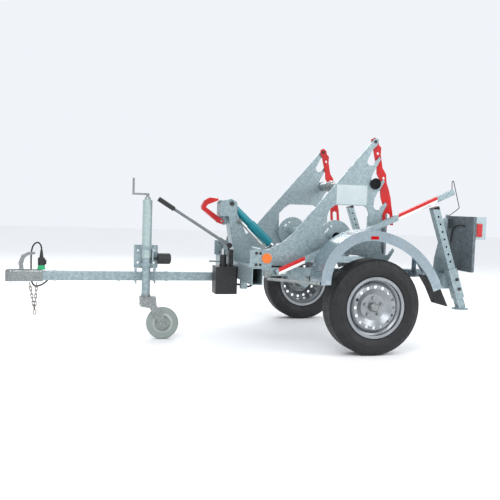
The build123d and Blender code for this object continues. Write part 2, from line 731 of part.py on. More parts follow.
def lock_bar(side, name):
    """Latch bar that hangs from the arm's tip pin and closes the notches behind the spindle."""
    with BuildPart() as bar:
        with BuildSketch(side_plane(side * (ARM_Y - 11))):
            with BuildLine():
                Polyline((52, 1350), (75, 1363), (100, 1345), (106, 1318), (124, 1300), (122, 1256),
                         (139, 1170), (166, 1130), (172, 1075), (190, 1030), (206, 975), (211, 939),
                         (222, 885), (232, 800), (212, 800), (206, 868), (186, 880), (172, 866),
                         (178, 806), (158, 806), (150, 937), (136, 975), (128, 1030), (118, 1040),
                         (118, 1100), (100, 1130), (98, 1168), (78, 1245), (66, 1298), (56, 1316),
                         close=True)
            make_face()
            with Locations(TIP_PIN):
                Circle(10 + PIN_GAP, mode=Mode.SUBTRACT)
            with Locations((102, 1262), (150, 1105)):
                Circle(9, mode=Mode.SUBTRACT)
        extrude(amount=side * 8)
    save(bar, name)


lock_bar(-1, "left_lock_bar")
lock_bar(1, "right_lock_bar")

SPINDLE_END = 514.0
with BuildPart() as spindle:
    with BuildSketch(side_plane(SPINDLE_END)):
        with Locations(SPINDLE):
            Circle(SPINDLE_R)
            Circle(SPINDLE_R - 5, mode=Mode.SUBTRACT)
    extrude(amount=2 * SPINDLE_END)
    for _, side in SIDES:
        with BuildSketch(side_plane(side * (ARM_Y + 8))):
            with Locations(SPINDLE):
                Circle(36)
                Circle(SPINDLE_R - 1, mode=Mode.SUBTRACT)
        extrude(amount=-side * 10)
        with BuildSketch(side_plane(side * (SPINDLE_END - 8))):
            with Locations(SPINDLE):
                Circle(SPINDLE_R - 5)
        extrude(amount=-side * 8)
save(spindle, "spindle")


def drum_cone(side, name):
    with BuildPart() as cone:
        with BuildSketch(side_plane(side * 300)):
            with Locations(SPINDLE):
                Circle(44)
        extrude(amount=side * 40, taper=14)
        with BuildSketch(side_plane(side * 300)):
            with Locations(SPINDLE):
                Circle(40)
        extrude(amount=-side * 24)
        with BuildSketch(side_plane(side * 330)):
            with Locations(SPINDLE):
                Circle(SPINDLE_R + PIN_GAP)
        extrude(amount=side * 90, mode=Mode.SUBTRACT)
    save(cone, name)


drum_cone(-1, "left_drum_cone")
drum_cone(1, "right_drum_cone")

# ---- Hand pump beside the drawbar ----
with BuildPart() as pump_tank:
    with BuildSketch(level_plane(308)):
        with Locations((-808.5, -118)):
            RectangleRounded(146, 146, 12)
            RectangleRounded(138, 138, 9, mode=Mode.SUBTRACT)
    extrude(amount=176)
    for z in (308, 484):
        with BuildSketch(level_plane(z)):
            with Locations((-808.5, -118)):
                RectangleRounded(146, 146, 12)
        extrude(amount=6)
save(pump_tank, "pump_tank")

PUMP_X, PUMP_Y = -826.0, -140.0
LEVER_PIVOT, LEVER_TIP = (-790.0, 630.0), (-1262.0, 922.0)
with BuildPart() as pump_body:
    with BuildSketch(level_plane(490)):
        with Locations((PUMP_X, PUMP_Y)):
            Circle(26)
    extrude(amount=18)
    with BuildSketch(level_plane(508)):
        with Locations((PUMP_X, PUMP_Y)):
            Circle(22)
    extrude(amount=60)
    with BuildSketch(level_plane(568)):
        with Locations((PUMP_X, PUMP_Y)):
            Circle(11 + PIN_GAP)
    extrude(amount=-60, mode=Mode.SUBTRACT)
    with BuildSketch(level_plane(490)):
        with Locations((-778, PUMP_Y)):
            Rectangle(30, 54)
    extrude(amount=112)
    with BuildSketch(side_plane(PUMP_Y + 27)):
        with Locations(LEVER_PIVOT):
            Circle(17)
    extrude(amount=54)
    with BuildSketch(side_plane(PUMP_Y + 11)):
        with Locations((-795, 640)):
            Rectangle(80, 90)
    extrude(amount=22, mode=Mode.SUBTRACT)
    with BuildSketch(side_plane(PUMP_Y + 11)):
        with Locations(LEVER_PIVOT):
            Circle(8)
    extrude(amount=22)
save(pump_body, "pump_body")

with BuildPart() as pump_plunger:
    with BuildSketch(level_plane(530)):
        with Locations((PUMP_X, PUMP_Y)):
            Circle(11)
    extrude(amount=76)
save(pump_plunger, "pump_plunger")

LEVER_LINE = tilted_plane(LEVER_PIVOT, LEVER_TIP, PUMP_Y)
LEVER_LENGTH = distance(LEVER_PIVOT, LEVER_TIP)
with BuildPart() as pump_lever:
    with BuildSketch(side_plane(PUMP_Y + 10)):
        with Locations(LEVER_PIVOT):
            Circle(18)
    extrude(amount=20)
    with BuildSketch(LEVER_LINE.offset(12)):
        Rectangle(20, 26)
    extrude(amount=66)
    with BuildSketch(LEVER_LINE.offset(70)):
        Circle(10)
    extrude(amount=LEVER_LENGTH - 190)
    with BuildSketch(side_plane(PUMP_Y + 11)):
        with Locations(LEVER_PIVOT):
            Circle(8 + PIN_GAP)
    extrude(amount=22, mode=Mode.SUBTRACT)
    with BuildSketch(LEVER_LINE.offset(LEVER_LENGTH - 120)):
        Circle(16)
    extrude(amount=120)
save(pump_lever, "pump_lever")

with BuildPart() as release_valve:
    with BuildSketch(cross_plane(-848.5)):
        with Locations((PUMP_Y, 522)):
            Circle(6)
    extrude(amount=-72)
    with BuildSketch(side_plane(PUMP_Y + 26)):
        with Locations((-910, 522)):
            Circle(4.5)
    extrude(amount=52)
save(release_valve, "release_valve")

HOSE_R = 7.0
HOSE_POINTS = [
    (-736, -92, 365), (-684, -92, 360), (-634, -90, 344), (-596, -82, 366), (-588, -75, 418),
    (-604, -70, 466), (-620, -68, 519),
]
hose_path_points = [(AXLE_X + x, y, z) for x, y, z in HOSE_POINTS]
with BuildPart() as hydraulic_hose:
    with BuildLine() as hose_line:
        FilletPolyline(*hose_path_points, radius=bend_radii(hose_path_points))
    hose = hose_line.wires()[0]
    with BuildSketch(Plane(origin=hose @ 0, z_dir=hose % 0)):
        Circle(HOSE_R)
    sweep()
save(hydraulic_hose, "hydraulic_hose")
print("hydraulic_hose radii", [round(radius) for radius in bend_radii(hose_path_points)])

# ---- Running gear: swing arms, hubs, rims, tyres ----
DISC_FACE = TRACK / 2 + 28


def swing_arm(side, name):
    """Trailing arm with its pivot shaft and stub axle."""
    link = side * (HOUSING_OUT + 2)
    with BuildPart() as arm:
        with BuildSketch(side_plane(link)):
            with BuildLine():
                Polyline((-144, 392), (-116, 392), (12, 330), (24, 298), (-6, 266), (-146, 328), close=True)
            make_face()
            with Locations(SWING_PIVOT, (0, TYRE_R)):
                Circle(33)
        extrude(amount=-side * 20)
        with BuildSketch(side_plane(link)):
            with Locations(SWING_PIVOT):
                Circle(20 - PIN_GAP)
        extrude(amount=side * 60)
        with BuildSketch(side_plane(link + side * 20)):
            with Locations((0, TYRE_R)):
                Circle(STUB_R)
        extrude(amount=-side * 116)
    save(arm, name)


def wheel_plane(side):
    """Plane through the wheel axis: local X is the radius, local Y the outward distance."""
    return Plane(origin=(AXLE_X, 0, TYRE_R), x_dir=(1, 0, 0), z_dir=(0, 0, side))


def wheel_axis():
    return Axis((AXLE_X, 0, TYRE_R), (0, 1, 0))


def wheel_hub(side, name):
    """Hub with bearing bore, five bolts and a dome cap."""
    with BuildPart() as hub:
        with BuildSketch(wheel_plane(side)):
            with BuildLine():
                Polyline((STUB_R + PIN_GAP, 606), (44, 606), (44, 700), (74, 712), (74, DISC_FACE),
                         (28, DISC_FACE), (28, DISC_FACE + 18), (STUB_R + PIN_GAP, DISC_FACE + 18),
                         close=True)
            make_face()
        revolve(axis=wheel_axis())
        with BuildSketch(side_plane(side * (DISC_FACE + 5))):
            with Locations((0, TYRE_R)):
                with PolarLocations(56, 5, start_angle=90):
                    RegularPolygon(11, 6)
        extrude(amount=-side * 14)
        with BuildSketch(wheel_plane(side)):
            with BuildLine():
                Polyline((0, DISC_FACE + 18), (28, DISC_FACE + 18), (28, DISC_FACE + 34),
                         (20, DISC_FACE + 42), (0, DISC_FACE + 44), close=True)
            make_face()
        revolve(axis=wheel_axis())
    save(hub, name)


def wheel_rim(side, name):
    middle = TRACK / 2
    with BuildPart() as rim:
        with BuildSketch(wheel_plane(side)):
            with BuildLine():
                Polyline((FLANGE_R, middle + 76), (FLANGE_R, middle + 72), (177, middle + 70),
                         (176, middle + 46), (156, middle + 34), (156, middle - 20), (176, middle - 40),
                         (177, middle - 70), (FLANGE_R, middle - 72), (FLANGE_R, middle - 76),
                         (172, middle - 75), (171, middle - 44), (151, middle - 24), (151, middle + 28),
                         (146, middle + 44), (136, middle + 55), (120, middle + 53), (98, middle + 37),
                         (84, middle + 28.5), (28.5, middle + 28.5), (28.5, middle + 33),
                         (82, middle + 33), (96, middle + 42), (118, middle + 58), (138, middle + 60),
                         (150, middle + 50), (153, middle + 37), (171, middle + 50), (172, middle + 75),
                         close=True)
            make_face()
        revolve(axis=wheel_axis())
        with BuildSketch(side_plane(side * (middle + 20))):
            with Locations((0, TYRE_R)):
                with PolarLocations(127, 16):
                    Circle(10)
        extrude(amount=-side * 60, mode=Mode.SUBTRACT)
        with BuildSketch(side_plane(side * (middle + 20))):
            with Locations((0, TYRE_R)):
                with PolarLocations(56, 5, start_angle=90):
                    Circle(8)
        extrude(amount=-side * 20, mode=Mode.SUBTRACT)
    save(rim, name)


def wheel_tyre(side, name):
    middle = TRACK / 2
    half = TYRE_W / 2
    with BuildPart() as tyre:
        with BuildSketch(wheel_plane(side)):
            with BuildLine():
                Polyline((178, middle - 69), (191, middle - 70.5), (200, middle - 80), (232, middle - half),
                         (262, middle - half + 2), (288, middle - 76), (TYRE_R, middle - 60),
                         (TYRE_R, middle + 60), (288, middle + 76), (262, middle + half - 2),
                         (232, middle + half), (200, middle + 80), (191, middle + 70.5),
                         (178, middle + 69), close=True)
            make_face()
        revolve(axis=wheel_axis())
    save(tyre, name)


for side_name, side in SIDES:
    swing_arm(side, f"{side_name}_swing_arm")
    wheel_hub(side, f"{side_name}_hub")
    wheel_rim(side, f"{side_name}_rim")
    wheel_tyre(side, f"{side_name}_tyre")

# ---- Mudguards and flaps ----
GUARD_IN, GUARD_OUT, GUARD_T, SKIRT = 606.0, 808.0, 3.0, 62.0
GUARD_POINTS = ((-372, 440), (-236, 715), (-30, 772), (205, 694), (428, 424))
with BuildPart() as fenders:
    for _, side in SIDES:
        with BuildSketch(side_plane(side * GUARD_IN)):
            with BuildLine() as crown:
                ThreePointArc(*GUARD_POINTS[:3])
                ThreePointArc(*GUARD_POINTS[2:])
                offset(amount=-GUARD_T, side=Side.RIGHT)
            make_face()
        extrude(amount=-side * (GUARD_OUT - GUARD_IN))
        with BuildSketch(side_plane(side * (GUARD_OUT - GUARD_T))):
            with BuildLine():
                ThreePointArc(*GUARD_POINTS[:3])
                ThreePointArc(*GUARD_POINTS[2:])
                offset(amount=-SKIRT, side=Side.RIGHT)
            make_face()
        extrude(amount=-side * GUARD_T)
        with BuildSketch(side_plane(side * (RAIL_Y + RAIL_W / 2))):
            with Locations((-262, 494), (330, 494)):
                Rectangle(30, 40)
        extrude(amount=-side * (GUARD_IN - RAIL_Y - RAIL_W / 2 + 1))
        with BuildSketch(side_plane(side * GUARD_IN)):
            with BuildLine():
                Polyline((-277, 514), (-247, 514), (-247, 474), (-277, 474), close=True)
            make_face()
            with BuildLine():
                Polyline((315, 474), (345, 474), (345, 580), (315, 612), close=True)
            make_face()
            with BuildLine():
                Polyline((-277, 474), (-247, 474), (-247, 700), (-277, 672), close=True)
            make_face()
        extrude(amount=-side * 5)
save(fenders, "fenders")

with BuildPart() as mudflaps:
    for _, side in SIDES:
        with BuildSketch(side_plane(side * (GUARD_IN + 4))):
            with BuildLine():
                Polyline((362, 490), (368, 494), (421, 416), (474, 312), (466, 309), (414, 414),
                         close=True)
            make_face()
        extrude(amount=-side * (GUARD_OUT - GUARD_IN - 8))
save(mudflaps, "mudflaps")

# ---- Rear end: brackets, leg sleeves, legs, lamp boards ----
LEG_LINE = tilted_plane(LEG_TOP, LEG_FOOT, 0)
LEG_LENGTH = distance(LEG_TOP, LEG_FOOT)
LEG_W, SLEEVE_W, SLEEVE_START, SLEEVE_END = 50.0, 62.0, 412.0, 610.0


LEG_TILT = atan2(LEG_FOOT[0] - LEG_TOP[0], LEG_TOP[1] - LEG_FOOT[1])
BOARD_X, BOARD_T, BOARD_IN, BOARD_OUT = 632.0, 18.0, 492.0, 800.0
BOARD_LOW, BOARD_HIGH = 522.0, 874.0
GUARD_LOW, GUARD_REAR = 731.0, 722.0


def leg_plane(side, reach):
    """Plane across the leg at a distance below its top."""
    return LEG_LINE.offset(reach).shift_origin(LEG_LINE.offset(reach).origin + Vector(0, side * LEG_Y, 0))


with BuildPart() as rear_brackets:
    for _, side in SIDES:
        with BuildSketch(level_plane(402)):
            with Locations((545, side * 565)):
                Rectangle(90, 98)
        extrude(amount=110)
        with BuildSketch(level_plane(512)):
            with Locations((550.5, side * 570)):
                Rectangle(99, 112)
        extrude(amount=7)
        with BuildSketch(side_plane(side * 596)):
            with BuildLine():
                Polyline((474, 519), (480, 600), (500, 690), (522, 760), (522, 846), (534, 860),
                         (556, 860), (562, 846), (562, 700), (600, 519), close=True)
            make_face()
        extrude(amount=-side * 8)
        with BuildSketch(side_plane(side * 604)):
            with Locations((548, 455)):
                Rectangle(80, 100)
        extrude(amount=-side * (LEG_Y - SLEEVE_W / 2 - 603))
        with BuildSketch(level_plane(470)):
            with Locations((587, side * 553)):
                Rectangle(34, 78)
        extrude(amount=16)
        with BuildSketch(leg_plane(side, SLEEVE_START)):
            RectangleRounded(SLEEVE_W, SLEEVE_W, 5)
            Rectangle(LEG_W + 2 * GAP, LEG_W + 2 * GAP, mode=Mode.SUBTRACT)
        extrude(amount=SLEEVE_END - SLEEVE_START)
        with BuildSketch(level_plane(470)):
            with Locations((POST[0], side * POST[1])):
                Circle(10)
        extrude(amount=BOARD_HIGH - 462)
        with BuildSketch(level_plane(486)):
            with Locations((POST[0], side * POST[1])):
                Circle(15)
        extrude(amount=BOARD_LOW + 19.6 - 486)
save(rear_brackets, "rear_brackets")


def support_leg(side, name):
    """Perforated square leg with a round foot plate."""
    with BuildPart() as leg:
        with BuildSketch(leg_plane(side, 8)):
            RectangleRounded(LEG_W, LEG_W, 4)
            RectangleRounded(LEG_W - 8, LEG_W - 8, 2, mode=Mode.SUBTRACT)
        extrude(amount=LEG_LENGTH - 10)
        with BuildSketch(leg_plane(side, 0)):
            RectangleRounded(LEG_W, LEG_W, 4)
        extrude(amount=8)
        with BuildSketch(level_plane(LEG_FOOT[1] - 14)):
            with Locations((LEG_FOOT[0] - 2, side * LEG_Y)):
                Circle(52)
        extrude(amount=7)
        with BuildSketch(level_plane(LEG_FOOT[1] - 7)):
            with Locations((LEG_FOOT[0] - 2, side * LEG_Y)):
                Rectangle(50, 46)
        extrude(amount=20)
        run = sin(LEG_TILT)
        rise = cos(LEG_TILT)
        with BuildSketch(side_plane(side * (LEG_Y + 40))):
            with Locations(*[(LEG_TOP[0] + run * reach, LEG_TOP[1] - rise * reach)
                             for reach in (62, 112, 162, 212, 262, 312, 362)]):
                Circle(7)
        extrude(amount=side * 80, mode=Mode.SUBTRACT)
    save(leg, name)


def lamp_board(side, name):
    """Panel with a returned side guard that swings on the inner post."""
    with BuildPart() as board:
        with BuildSketch(cross_plane(BOARD_X)):
            with Locations((side * (BOARD_IN + BOARD_OUT) / 2, (BOARD_LOW + BOARD_HIGH) / 2)):
                RectangleRounded(BOARD_OUT - BOARD_IN, BOARD_HIGH - BOARD_LOW, 10)
        extrude(amount=BOARD_T)
        with BuildSketch(side_plane(side * BOARD_OUT)):
            with Locations(((BOARD_X + 4 + GUARD_REAR) / 2, (GUARD_LOW + BOARD_HIGH) / 2)):
                Rectangle(GUARD_REAR - BOARD_X - 4, BOARD_HIGH - GUARD_LOW)
            with Locations((674, 790)):
                Rectangle(40, 84, mode=Mode.SUBTRACT)
        extrude(amount=side * 4)
        with BuildSketch(level_plane(BOARD_LOW + 20)):
            with Locations((POST[0], side * POST[1])):
                Circle(17)
                Circle(10 + PIN_GAP, mode=Mode.SUBTRACT)
            with Locations(((POST[0] + BOARD_X) / 2 + 9, side * POST[1])):
                Rectangle(BOARD_X - POST[0] - 16, 12)
        extrude(amount=60)
        with BuildSketch(level_plane(BOARD_HIGH - 80)):
            with Locations((POST[0], side * POST[1])):
                Circle(17)
                Circle(10 + PIN_GAP, mode=Mode.SUBTRACT)
            with Locations(((POST[0] + BOARD_X) / 2 + 9, side * POST[1])):
                Rectangle(BOARD_X - POST[0] - 16, 12)
        extrude(amount=60)
        with BuildSketch(cross_plane(BOARD_X + BOARD_T)):
            with Locations((side * 694, 790)):
                RectangleRounded(200, 96, 8)
        extrude(amount=50)
    save(board, name)


for side_name, side in SIDES:
    support_leg(side, f"{side_name}_leg")
    lamp_board(side, f"{side_name}_lamp_board")

# ---- Marker bar, retaining wire, lamp leads ----
BAR_FRONT, BAR_REAR, BAR_Y, BAR_W = (-590.0, 491.0), (600.0, 1030.0), 586.0, 36.0
BAR_LINE = tilted_plane(BAR_FRONT, BAR_REAR, -BAR_Y)
with BuildPart() as marker_bar:
    with BuildSketch(BAR_LINE):
        RectangleRounded(BAR_W, BAR_W, 4)
        RectangleRounded(BAR_W - 6, BAR_W - 6, 2, mode=Mode.SUBTRACT)
    extrude(amount=distance(BAR_FRONT, BAR_REAR))
    with BuildSketch(side_plane(-RAIL_Y - RAIL_W / 2)):
        with Locations((-540, 497)):
            Rectangle(40, 30)
    extrude(amount=5)
    with BuildSketch(side_plane(-BAR_Y - BAR_W / 2 + 3)):
        with Locations((4, 758)):
            Rectangle(40, 20)
    extrude(amount=5)
    with BuildSketch(side_plane(-BAR_Y - 4)):
        with Locations((432, 934)):
            Rectangle(34, 16)
    extrude(amount=52)
save(marker_bar, "marker_bar")

WIRE_R = 2.5
WIRE_POINTS = [
    (592, -586, 1044), (590, -586, 1098), (600, -586, 1104), (661, -572, 930), (650, -560, 914),
    (585, -560, 868), (566, -570, 846), (556, -590, 838),
]
wire_path_points = [(AXLE_X + x, y, z) for x, y, z in WIRE_POINTS]
with BuildPart() as retaining_wire:
    with BuildLine() as wire_line:
        FilletPolyline(*wire_path_points, radius=[min(radius, 8) for radius in bend_radii(wire_path_points)])
    wire = wire_line.wires()[0]
    with BuildSketch(Plane(origin=wire @ 0, z_dir=wire % 0)):
        Circle(WIRE_R)
    sweep()
save(retaining_wire, "retaining_wire")


def lamp_lead(side, name):
    """Lead clipped to the panel's front, from the lamp down to the post."""
    route = [(BOARD_X - 1, 700, 812), (BOARD_X - 8, 672, 818), (BOARD_X - 8, 616, 816),
             (BOARD_X - 8, 572, 800), (BOARD_X - 8, 552, 752), (BOARD_X - 8, 548, 700)]
    points = [(AXLE_X + x, side * y, z) for x, y, z in route]
    with BuildPart() as lead:
        with BuildLine() as lead_line:
            FilletPolyline(*points, radius=bend_radii(points))
        line = lead_line.wires()[0]
        with BuildSketch(Plane(origin=line @ 0, z_dir=line % 0)):
            Circle(4)
        sweep()
    save(lead, name)


lamp_lead(-1, "left_lamp_lead")

# ---- Loose fasteners of the fixed frame ----
with BuildPart() as frame_bolts:
    with BuildSketch(side_plane(CHEEK_OUT + 7)):
        with Locations(MAST_PIN):
            Circle(15)
    extrude(amount=2 * CHEEK_OUT + 14)
    for _, side in SIDES:
        with BuildSketch(side_plane(side * (BEARING_FACE + 55))):
            with Locations((-697, 573)):
                with GridLocations(26, 70, 2, 2):
                    Circle(6)
        extrude(amount=-side * 9)
        with BuildSketch(side_plane(side * (BEARING_FACE + 62))):
            with Locations((-697, 573)):
                with GridLocations(26, 70, 2, 2):
                    RegularPolygon(9, 6)
        extrude(amount=-side * 7)
        with BuildSketch(side_plane(side * (LEG_Y + SLEEVE_W / 2))):
            with Locations((574, 470), (594, 410)):
                RegularPolygon(11, 6)
        extrude(amount=-side * 9)
save(frame_bolts, "frame_bolts")
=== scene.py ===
"""Looks for a single-axle hydraulic cable drum trailer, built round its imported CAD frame, in metres."""
import json
from math import pi
import bmesh
import bpy
from mathutils import Matrix, Vector


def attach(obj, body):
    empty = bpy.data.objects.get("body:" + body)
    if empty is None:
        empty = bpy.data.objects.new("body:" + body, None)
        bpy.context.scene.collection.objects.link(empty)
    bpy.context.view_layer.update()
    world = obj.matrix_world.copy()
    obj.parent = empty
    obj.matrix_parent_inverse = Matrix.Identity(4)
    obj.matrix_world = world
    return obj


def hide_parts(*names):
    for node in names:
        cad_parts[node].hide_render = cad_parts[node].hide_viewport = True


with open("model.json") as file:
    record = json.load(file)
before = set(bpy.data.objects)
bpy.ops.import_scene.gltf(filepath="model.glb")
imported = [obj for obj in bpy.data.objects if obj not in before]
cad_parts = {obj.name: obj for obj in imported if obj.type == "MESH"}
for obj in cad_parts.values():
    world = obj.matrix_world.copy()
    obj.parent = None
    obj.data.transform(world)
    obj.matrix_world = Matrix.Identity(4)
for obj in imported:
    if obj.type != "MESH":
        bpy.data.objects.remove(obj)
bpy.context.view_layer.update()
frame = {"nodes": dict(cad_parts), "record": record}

NODES = frame["nodes"]
AXLE_X = 0.7375
AXLE_Z = 0.298
SIDES = (("left", -1), ("right", 1))


# ---- Camera ----
CAMERA_PLACE = (-1.02961, -4.59966, 0.88594)
CAMERA_RIGHT = Vector((0.96182, -0.27159, 0.03373))
CAMERA_UP = Vector((-0.01505, 0.07057, 0.99739))
LENS_MM = 49.365
SENSOR_MM = 36.0
SHIFT = (-0.0420, 0.0039)


def add_camera():
    """The camera: it looks at the trailer's left side from ahead of the axle."""
    data = bpy.data.cameras.new("camera")
    data.lens = LENS_MM
    data.sensor_width = SENSOR_MM
    data.shift_x, data.shift_y = SHIFT
    camera = bpy.data.objects.new("camera", data)
    bpy.context.scene.collection.objects.link(camera)
    back = CAMERA_RIGHT.cross(CAMERA_UP).normalized()
    turned = Matrix((CAMERA_RIGHT, CAMERA_UP, back)).transposed()
    camera.matrix_world = Matrix.Translation(CAMERA_PLACE) @ turned.to_4x4()
    bpy.context.scene.camera = camera


add_camera()


# ---- Trailer lead, from under the drawbar up to the parked plug ----
LEAD_RADIUS = 0.005
PLUG_X = AXLE_X - 1.980
LEAD_POINTS = [
    (PLUG_X + 0.040, 0.000, 0.379), (PLUG_X + 0.026, 0.002, 0.362), (PLUG_X - 0.004, 0.010, 0.342),
    (PLUG_X - 0.040, 0.028, 0.332), (PLUG_X - 0.062, 0.046, 0.360), (PLUG_X - 0.066, 0.052, 0.404),
    (PLUG_X - 0.065, 0.052, 0.456), (PLUG_X - 0.066, 0.050, 0.508), (PLUG_X - 0.064, 0.044, 0.560),
    (PLUG_X - 0.052, 0.030, 0.602), (PLUG_X - 0.024, 0.014, 0.622), (PLUG_X, 0.002, 0.598),
    (PLUG_X, 0.000, 0.570),
]


def add_piece(name, data, body):
    """A new object in the scene that moves with a CAD body."""
    piece = bpy.data.objects.new(name, data)
    bpy.context.scene.collection.objects.link(piece)
    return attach(piece, body)


def round_line(name, points, radius, body):
    """A smooth round line through a route's control points."""
    curve = bpy.data.curves.new(name, "CURVE")
    curve.dimensions = "3D"
    curve.bevel_depth = radius
    curve.bevel_resolution = 4
    curve.resolution_u = 12
    curve.use_fill_caps = True
    line = curve.splines.new("NURBS")
    line.points.add(len(points) - 1)
    for point, place in zip(line.points, points):
        point.co = (*place, 1.0)
    line.order_u = 3
    line.use_endpoint_u = True
    return add_piece(name, curve, body)


lead = round_line("lead_sheath", LEAD_POINTS, LEAD_RADIUS, "chassis")
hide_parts("trailer_lead")


# ---- Shader parts ----
class Finish:
    """One material, with the few node patterns that the finishes share."""

    def __init__(self, name, colour, roughness, metallic=0.0):
        self.material = bpy.data.materials.new(name)
        self.material.use_nodes = True
        self.tree = self.material.node_tree
        self.surface = self.tree.nodes["Principled BSDF"]
        self.surface.inputs["Base Color"].default_value = (*colour, 1.0)
        self.surface.inputs["Roughness"].default_value = roughness
        self.surface.inputs["Metallic"].default_value = metallic
        self.place = self.node("ShaderNodeTexCoord").outputs["Object"]

    def node(self, kind, **settings):
        made = self.tree.nodes.new(kind)
        for key, value in settings.items():
            setattr(made, key, value)
        return made

    def join(self, source, target):
        self.tree.links.new(source, target)

    def feed(self, target, value):
        if isinstance(value, bpy.types.NodeSocket):
            self.join(value, target)
        else:
            target.default_value = value

    def noise(self, scale, detail=4.0):
        made = self.node("ShaderNodeTexNoise")
        made.inputs["Scale"].default_value = scale
        made.inputs["Detail"].default_value = detail
        self.join(self.place, made.inputs["Vector"])
        return made.outputs["Fac"]

    def crystals(self, scale):
        made = self.node("ShaderNodeTexVoronoi")
        made.inputs["Scale"].default_value = scale
        self.join(self.place, made.inputs["Vector"])
        parts = self.node("ShaderNodeSeparateColor")
        self.join(made.outputs["Color"], parts.inputs["Color"])
        return parts.outputs["Red"]

    def sums(self, kind, first, second=0.0):
        made = self.node("ShaderNodeMath", operation=kind)
        self.feed(made.inputs[0], first)
        self.feed(made.inputs[1], second)
        return made.outputs[0]

    def spread(self, source, low, high, low_out=0.0, high_out=1.0):
        made = self.node("ShaderNodeMapRange")
        self.join(source, made.inputs["Value"])
        made.inputs["From Min"].default_value = low
        made.inputs["From Max"].default_value = high
        made.inputs["To Min"].default_value = low_out
        made.inputs["To Max"].default_value = high_out
        return made.outputs["Result"]

    def along(self, axis):
        parts = self.node("ShaderNodeSeparateXYZ")
        self.join(self.place, parts.inputs["Vector"])
        return parts.outputs[axis]

    def within(self, value, low, high):
        """1 between two limits and 0 outside them."""
        above = self.sums("GREATER_THAN", value, low)
        below = self.sums("LESS_THAN", value, high)
        return self.sums("MULTIPLY", above, below)

    def mix(self, factor, first, second):
        made = self.node("ShaderNodeMix", data_type="RGBA")
        self.feed(made.inputs["Factor"], factor)
        for target, value in ((made.inputs[6], first), (made.inputs[7], second)):
            self.feed(target, value if isinstance(value, bpy.types.NodeSocket) else (*value, 1.0))
        return made.outputs[2]

    def paint(self, colour):
        self.join(colour, self.surface.inputs["Base Color"])

    def rough(self, source, low, high):
        self.join(self.spread(source, 0.3, 0.7, low, high), self.surface.inputs["Roughness"])

    def bump(self, source, strength, depth):
        made = self.node("ShaderNodeBump")
        made.inputs["Strength"].default_value = strength
        made.inputs["Distance"].default_value = depth
        self.join(source, made.inputs["Height"])
        self.join(made.outputs["Normal"], self.surface.inputs["Normal"])


GRIME = (0.10, 0.085, 0.065)


def zinc_coat(name, light, dark, crystal_scale, roughness, metallic=0.6):
    """Hot-dip zinc: crystals of two greys, cloudy patches, and a little road dirt lower down."""
    coat = Finish(name, light, roughness, metallic)
    crystals = coat.crystals(crystal_scale)
    clouds = coat.noise(6.0, 6.0)
    shade = coat.mix(crystals, light, dark)
    shade = coat.mix(coat.spread(clouds, 0.45, 0.75, 0.0, 0.35), shade, dark)
    dirt = coat.spread(coat.noise(22.0, 8.0), 0.58, 0.75, 0.0, 0.35)
    low = coat.spread(coat.along("Z"), 0.2, 0.7, 1.0, 0.15)
    coat.paint(coat.mix(coat.sums("MULTIPLY", dirt, low), shade, GRIME))
    coat.rough(crystals, roughness - 0.08, roughness + 0.1)
    coat.bump(coat.noise(140.0, 3.0), 0.12, 0.0006)
    return coat


def sprayed(name, colour, roughness, wear=(0.25, 0.25, 0.25), wear_amount=0.5, metallic=0.0):
    """Sprayed paint: faint mottling, an orange-peel surface and small scuffs."""
    coat = Finish(name, colour, roughness, metallic)
    darker = tuple(0.72 * part for part in colour)
    shade = coat.mix(coat.spread(coat.noise(9.0, 5.0), 0.35, 0.7), colour, darker)
    scuffs = coat.spread(coat.noise(70.0, 8.0), 0.66, 0.72, 0.0, wear_amount)
    coat.paint(coat.mix(scuffs, shade, wear))
    coat.rough(coat.noise(15.0), roughness - 0.06, roughness + 0.12)
    coat.bump(coat.noise(220.0, 2.0), 0.08, 0.0004)
    return coat


DUST = 0.006


def moulded(name, colour, roughness, grain=400.0):
    """Moulded rubber or plastic: fine grain and dusty patches."""
    skin = Finish(name, colour, roughness)
    dusty = tuple(min(1.0, 1.1 * part + DUST) for part in colour)
    skin.paint(skin.mix(skin.spread(skin.noise(12.0, 6.0), 0.45, 0.75), colour, dusty))
    skin.rough(skin.noise(30.0), roughness - 0.05, roughness + 0.12)
    skin.bump(skin.noise(grain, 2.0), 0.2, 0.0005)
    return skin


REFLECTOR_CELLS = 1400.0


def reflector(name, colour):
    """A moulded reflector: a clear gloss skin over a fine grid of cells."""
    lens = Finish(name, colour, 0.18)
    lens.surface.inputs["Coat Weight"].default_value = 0.6
    cells = lens.sums("SINE", lens.sums("MULTIPLY", lens.along("X"), REFLECTOR_CELLS))
    rows = lens.sums("SINE", lens.sums("MULTIPLY", lens.along("Z"), REFLECTOR_CELLS))
    grid = lens.sums("MULTIPLY", cells, rows)
    deep = tuple(0.55 * part for part in colour)
    lens.paint(lens.mix(lens.spread(grid, -1.0, 1.0), colour, deep))
    lens.bump(grid, 0.3, 0.0006)
    return lens


# ---- Finishes by material slot ----
PALE_ZINC = (0.36, 0.44, 0.46)
GREY_ZINC = (0.23, 0.30, 0.32)
RED = (0.52, 0.002, 0.002)
TEAL = (0.004, 0.24, 0.30)
AMBER = (1.0, 0.19, 0.005)
LENS_RED = (0.55, 0.004, 0.004)
WHITE = (0.80, 0.80, 0.78)
BLACK = (0.012, 0.012, 0.013)
TREAD_BLOCKS = 62.0
TREAD_SLANT = 60.0
TREAD_INNER, TREAD_OUTER = 0.278, 0.286
WALL_RINGS = 900.0


